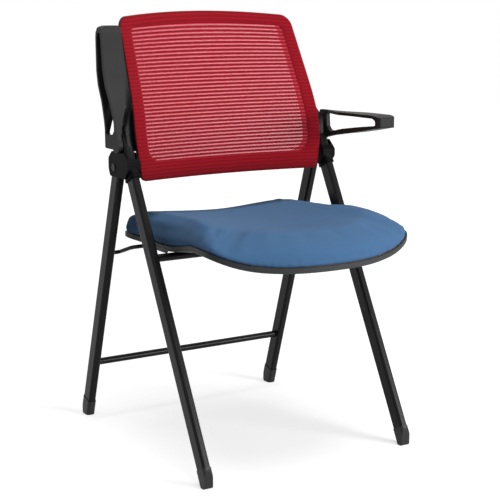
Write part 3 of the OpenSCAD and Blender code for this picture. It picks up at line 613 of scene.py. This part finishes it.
# Fabric border: the same cloth over the frame, softly rounded at its edges
borderCloth = {
    "colour": (0.232, 0.0018, 0.0082),
    "dark": (0.13, 0.0012, 0.0052),
    "roughness": 0.9,
    "specular": 0.1,
    "sheen": 0.04,
    "knit": 0.00095,
    "knitHeight": 0.3,
    "speck": 600,
    "speckDetail": 2,
    "speckShare": 0.25,
    # painted shade along the border's lower edge: how strong, over what height and how dark
    "paintedShadeShare": 0.5,
    "paintedShadeHeight": 0.022,
    "paintedShadeTint": 0.4,
    "bump": 0.00025,
    "thick": 0.001,
    "smoothBelow": 50,
    "section": [
        (0.004, 0.0027), (0.0, 0.0021), (0.0, 0.0014), (0.012, 0.0007), (0.04, 0.00025), (0.1, -0.0001),
        (0.25, -0.0004), (0.45, -0.0005), (0.65, -0.0004), (0.82, -0.0001), (0.92, 0.0002), (0.97, 0.0006),
        (0.993, 0.0011), (1.0, 0.0016),
    ],
}


def borderFinish():
    # the same knit drawn over the black frame, which darkens its sheer stripes, with painted shade
    # darkening it towards its lower edge
    material, tree, shader = newMaterial("borderCloth", borderCloth)
    flat, sheer = stripesOnBack(tree)
    speck = noiseNode(tree, objectPlace(tree), borderCloth["speck"], borderCloth["speckDetail"])
    knit = wavesAlong(tree, flat["X"], borderCloth["knit"])
    shade = mathNode(tree, "ADD", mathNode(tree, "MULTIPLY", sheer, 1 - borderCloth["speckShare"]),
                     mathNode(tree, "MULTIPLY", speck, borderCloth["speckShare"]))
    striped = mixColours(tree, shade, (*borderCloth["colour"], 1), (*borderCloth["dark"], 1))
    # painted shade: the colour darkens towards the border's lower edge, over the height given above
    paintedShadeTop = back["low"] + borderCloth["paintedShadeHeight"]
    lower = rangeNode(tree, flat["Y"], paintedShadeTop, back["low"], 0, borderCloth["paintedShadeShare"])
    colour = mixColours(tree, lower, striped, tinted(borderCloth["dark"], borderCloth["paintedShadeTint"]))
    raised = mathNode(tree, "SUBTRACT", mathNode(tree, "MULTIPLY", knit, borderCloth["knitHeight"]), sheer)
    dress(tree, shader, colour, raised, borderCloth["bump"])
    return material


def makeBorder():
    border = backBand("backBorder", borderCloth["section"], closed=False)
    middle = border.data.polygons[len(border.data.polygons) // 2]
    if middle.normal.y > 0:
        border.data.flip_normals()
    flatMap(border)
    thicken(border, "clothThickness", borderCloth["thick"], -1)
    shadeByAngle(border, borderCloth["smoothBelow"])
    settle(border, "front_frame", finish["borderCloth"], "back_cover")


# Moulded ring behind the border, with a lip that stands back round the window
backRing = {
    "depth": 0.0033,
    "thick": 0.009,
    "lip": 0.019,
    "lipWidth": 0.008,
    "lipSlope": 0.002,
    "lipCurl": 0.0014,
    "lipFoot": 0.006,
    "soft": 0.0006,
    "fine": 0.0004,
    "smoothBelow": 40,
}


def makeBackRing():
    near, thick, soft, fine = [backRing[name] for name in ("depth", "thick", "soft", "fine")]
    rear = near + thick
    crest = near + backRing["lip"]
    lipShare = 1 - backRing["lipWidth"] / back["windowSide"]
    section = [
        (0.02, near), (0.0, near + soft), (0.0, near + thick * 0.35), (0.0, near + thick * 0.7),
        (0.02, near + thick * 0.88), (0.07, rear), (0.3, rear), (0.55, rear),
        (lipShare - 0.04, rear), (lipShare, rear + soft),
        (lipShare + 0.05, crest - backRing["lipSlope"]), (lipShare + 0.09, crest - fine),
        (lipShare + 0.13, crest), (0.96, crest), (0.985, crest - fine),
        (1.0, crest - backRing["lipCurl"]), (1.0, near + backRing["lipFoot"]), (1.0, near + fine),
        (0.985, near), (0.5, near),
    ]
    ring = backBand("backFrame", section, closed=True)
    shadeByAngle(ring, backRing["smoothBelow"])
    settle(ring, "front_frame", finish["framePlastic"], "back_frame")


finish["plywood"] = plywoodFinish()
finish["seatCloth"] = seatClothFinish()
finish["netCloth"] = netFinish()
finish["borderCloth"] = borderFinish()
print("finishes made:", len(finish))

makeNet()
print("net made")
makeBorder()
makeBackRing()
print("back made")


# Seat cushion: the frame's cushion form, filled out by air pressure inside the cover
cushion = {
    "voxel": 0.005,
    "sectors": 72,
    "fuller": 0.55,
    "fullFrom": 0.3,
    "fullOver": 0.6,
    "frontFrom": 0.1,
    "frontOver": 0.6,
    "skirt": 0.0016,
    "skirtFrom": 0.85,
    "skirtOver": 0.1,
    "skirtLevel": 0.5,
    "skirtTurn": 0.6,
    "evenBefore": 6,
    "evenAfter": 5,
    "evenFactor": 0.5,
    "heldBelow": -0.3,
    "pressure": 4.0,
    "mass": 0.3,
    "quality": 5,
    "frames": 20,
    "mostRise": 0.004,
}


def cushionPlaces(pad):
    # for each vertex: its share of the way to the rim, the rim's height there, and how far back it lies
    low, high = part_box("seat_cushion")
    middle = (Vector(low) + Vector(high)) / 2
    half = (Vector(high) - Vector(low)) / 2
    rims = [(0, 0)] * cushion["sectors"]

    def polar(point):
        across = (point.x - middle.x) / half.x
        along = (point.y - middle.y) / half.y
        turn = math.atan2(along, across) / (2 * math.pi) % 1 * cushion["sectors"]
        return math.hypot(across, along), turn, along

    for vertex in cadNodes["seat_cushion"].data.vertices:
        reach, turn, along = polar(vertex.co)
        sector = round(turn) % cushion["sectors"]
        if reach > rims[sector][0]:
            rims[sector] = (reach, vertex.co.z)
    places = []
    for vertex in pad.data.vertices:
        reach, turn, along = polar(vertex.co)
        first = int(turn)
        pair = rims[first % cushion["sectors"]], rims[(first + 1) % cushion["sectors"]]
        edge, height = [a + (b - a) * (turn % 1) for a, b in zip(*pair)]
        places.append((reach / edge, height, along))
    return places


def fillFront(pad):
    # thickens the foam towards its front edges, above the line where it meets the shell
    for vertex, (reach, height, along) in zip(pad.data.vertices, cushionPlaces(pad)):
        outer = smoothStep((reach - cushion["fullFrom"]) / cushion["fullOver"])
        forward = smoothStep((cushion["frontFrom"] - along) / cushion["frontOver"])
        if vertex.co.z > height:
            vertex.co.z += (vertex.co.z - height) * cushion["fuller"] * outer * forward


def lowerSkirt(pad):
    # draws the cover's lower edge out and down over the board's edge
    normals = [vertex.normal.copy() for vertex in pad.data.vertices]
    for vertex, normal, (reach, height, along) in zip(pad.data.vertices, normals, cushionPlaces(pad)):
        outer = smoothStep((reach - cushion["skirtFrom"]) / cushion["skirtOver"])
        sideways = smoothStep((cushion["skirtLevel"] - normal.z) / cushion["skirtTurn"])
        vertex.co += Vector((normal.x, normal.y, -1)) * cushion["skirt"] * outer * sideways


def inflate(pad):
    # air pressure rounds the cover, held at its underside, by mostRise and no more
    scene = bpy.context.scene
    start = [vertex.co.copy() for vertex in pad.data.vertices]
    held = pad.vertex_groups.new(name="held")
    for vertex in pad.data.vertices:
        if vertex.normal.z < cushion["heldBelow"]:
            held.add([vertex.index], 1, "REPLACE")
    cover = pad.modifiers.new("cover", "CLOTH").settings
    cover.quality = cushion["quality"]
    cover.mass = cushion["mass"]
    cover.use_pressure = True
    cover.uniform_pressure_force = cushion["pressure"]
    cover.effector_weights.gravity = 0
    cover.vertex_group_mass = "held"
    for step in range(1, cushion["frames"] + 1):
        scene.frame_set(step)
    applyAll(pad)
    scene.frame_set(1)
    for vertex, before in zip(pad.data.vertices, start):
        rise = vertex.co - before
        if rise.length > cushion["mostRise"]:
            vertex.co = before + rise * (cushion["mostRise"] / rise.length)


def makeCushion():
    pad = mergedCopy("seat_cushion", "seatCushion")
    remesh = pad.modifiers.new("evenMesh", "REMESH")
    remesh.mode = "VOXEL"
    remesh.voxel_size = cushion["voxel"]
    applyAll(pad)
    fillFront(pad)
    evenOut(pad, cushion["evenBefore"], cushion["evenFactor"])
    inflate(pad)
    evenOut(pad, cushion["evenAfter"], cushion["evenFactor"])
    lowerSkirt(pad)
    fine = pad.modifiers.new("fineMesh", "SUBSURF")
    fine.levels = 1
    fine.render_levels = 1
    applyAll(pad)
    bpy.ops.object.shade_smooth()
    settle(pad, "seat", finish["seatCloth"], "seat_cushion")


makeCushion()
print("cushion made")


# Rigid pieces that keep the frame's form, with softened edges
def bothSides(name):
    return [name + "_left", name + "_right"]


softened = [
    {"nodes": bothSides("front_leg"), "body": "front_frame", "finish": "powderCoat", "edge": 0.0004},
    {"nodes": bothSides("rear_leg"), "body": "rear_legs", "finish": "powderCoat", "edge": 0.0004},
    {"nodes": bothSides("front_foot"), "body": "front_frame", "finish": "footPlastic", "edge": 0.0006},
    {"nodes": bothSides("rear_foot"), "body": "rear_legs", "finish": "footPlastic", "edge": 0.0006},
    {"nodes": bothSides("hinge_housing"), "body": "front_frame", "finish": "hingePlastic", "edge": 0.0008},
    {"nodes": ["seat_pan"], "body": "seat", "finish": "panPlastic", "edge": 0.0007},
    {"nodes": ["armrest_left"], "body": "arm_left", "finish": "armPlastic", "edge": 0.0024},
    {"nodes": ["armrest_right"], "body": "arm_right", "finish": "armPlastic", "edge": 0.0024},
    {"nodes": bothSides("back_upright"), "body": "front_frame", "finish": "powderCoat", "edge": 0.0004},
]


def camelName(nodeName):
    words = nodeName.split("_")
    return words[0] + "".join(word.capitalize() for word in words[1:])


for kind in softened:
    for nodeName in kind["nodes"]:
        piece = mergedCopy(nodeName, camelName(nodeName))
        dissolveFlats(piece)
        bevelEdges(piece, kind["edge"])
        settle(piece, kind["body"], finish[kind["finish"]], nodeName)
print("rigid pieces softened")


# Frame nodes that stay as they are, with their finish
coated = {
    "powderCoat": ["seat_bar", "rear_bar"],
    "linkSteel": [
        "link_rod", *bothSides("seat_hanger"), *bothSides("seat_runner"), *bothSides("hinge_pin"),
    ],
    "zincSteel": ["back_screws", "seat_screws", *bothSides("arm_bolt")],
    "nylon": ["hinge_spacers", *bothSides("arm_bush")],
    "plywood": ["seat_board"],
    "armPlastic": bothSides("arm_cap"),
}
for finishName, names in coated.items():
    for nodeName in names:
        mesh = cadNodes[nodeName].data
        if not mesh.materials:
            mesh.materials.append(finish[finishName])
        for index in range(len(mesh.materials)):
            mesh.materials[index] = finish[finishName]
print("frame nodes coated")


# Floor, lamps and world
stage = {
    "floorSize": 12,
    "floorColour": (0.55, 0.55, 0.55),
    "speckle": 40,
    "speckleDetail": 2,
    "speckleSpread": 0.01,
    "nearLift": 0.6,
    "farLift": 0.9,
    "liftFrom": 1,
    "liftTo": 3,
    "worldLight": 0.26,
}
lamps = [
    {"name": "topLamp", "place": (0.0, -0.5, 3.0), "aim": (0, 0, 0.5), "size": 2.0, "power": 66},
    {"name": "frontLamp", "place": (1.5, -2.5, 1.0), "aim": (0, 0, 0.45), "size": 1.3, "power": 95},
]


def seenRays(tree):
    # 1 for what the camera, a gloss or a clear piece shows, 0 for what only lights the chair
    rays = addNode(tree, "ShaderNodeLightPath").outputs
    return mathNode(tree, "MAXIMUM", rays["Is Camera Ray"],
                    mathNode(tree, "MAXIMUM", rays["Is Glossy Ray"], rays["Is Transmission Ray"]))


def addStage():
    bpy.ops.object.select_all(action="DESELECT")
    bpy.ops.mesh.primitive_plane_add(size=stage["floorSize"])
    floor = bpy.context.object
    floor.name = "floor"
    material = bpy.data.materials.new("paleFloor")
    material.use_nodes = True
    tree = material.node_tree
    tree.nodes.clear()
    place = objectPlace(tree)
    speckle = noiseNode(tree, place, stage["speckle"], stage["speckleDetail"])
    tone = mixColours(tree, speckle, *shadesOf(stage["floorColour"], stage["speckleSpread"]))
    matt = addNode(tree, "ShaderNodeBsdfDiffuse", {"Color": tone})
    away = addNode(tree, "ShaderNodeVectorMath", {0: place}, operation="LENGTH").outputs["Value"]
    glow = rangeNode(tree, away, stage["liftFrom"], stage["liftTo"], stage["nearLift"], stage["farLift"])
    shown = mathNode(tree, "MULTIPLY", seenRays(tree), glow)
    lift = addNode(tree, "ShaderNodeEmission", {"Strength": shown})
    both = addNode(tree, "ShaderNodeAddShader", {0: matt.outputs[0], 1: lift.outputs[0]})
    addNode(tree, "ShaderNodeOutputMaterial", {"Surface": both.outputs[0]})
    floor.data.materials.append(material)


def addLamps():
    for settings in lamps:
        data = bpy.data.lights.new(settings["name"], "AREA")
        data.energy = settings["power"]
        data.shape = "DISK"
        data.size = settings["size"]
        lamp = bpy.data.objects.new(settings["name"], data)
        lamp.location = settings["place"]
        away = Vector(settings["place"]) - Vector(settings["aim"])
        lamp.rotation_euler = away.to_track_quat("Z", "Y").to_euler()
        bpy.context.scene.collection.objects.link(lamp)


def addWorld():
    world = bpy.data.worlds.new("studio")
    bpy.context.scene.world = world
    world.use_nodes = True
    tree = world.node_tree
    background = tree.nodes["Background"]
    background.inputs["Color"].default_value = (1, 1, 1, 1)
    strength = rangeNode(tree, seenRays(tree), 0, 1, stage["worldLight"], 1)
    tree.links.new(strength, background.inputs["Strength"])


addStage()
addLamps()
addWorld()
bpy.context.scene.view_settings.view_transform = "Standard"
print("stage set")
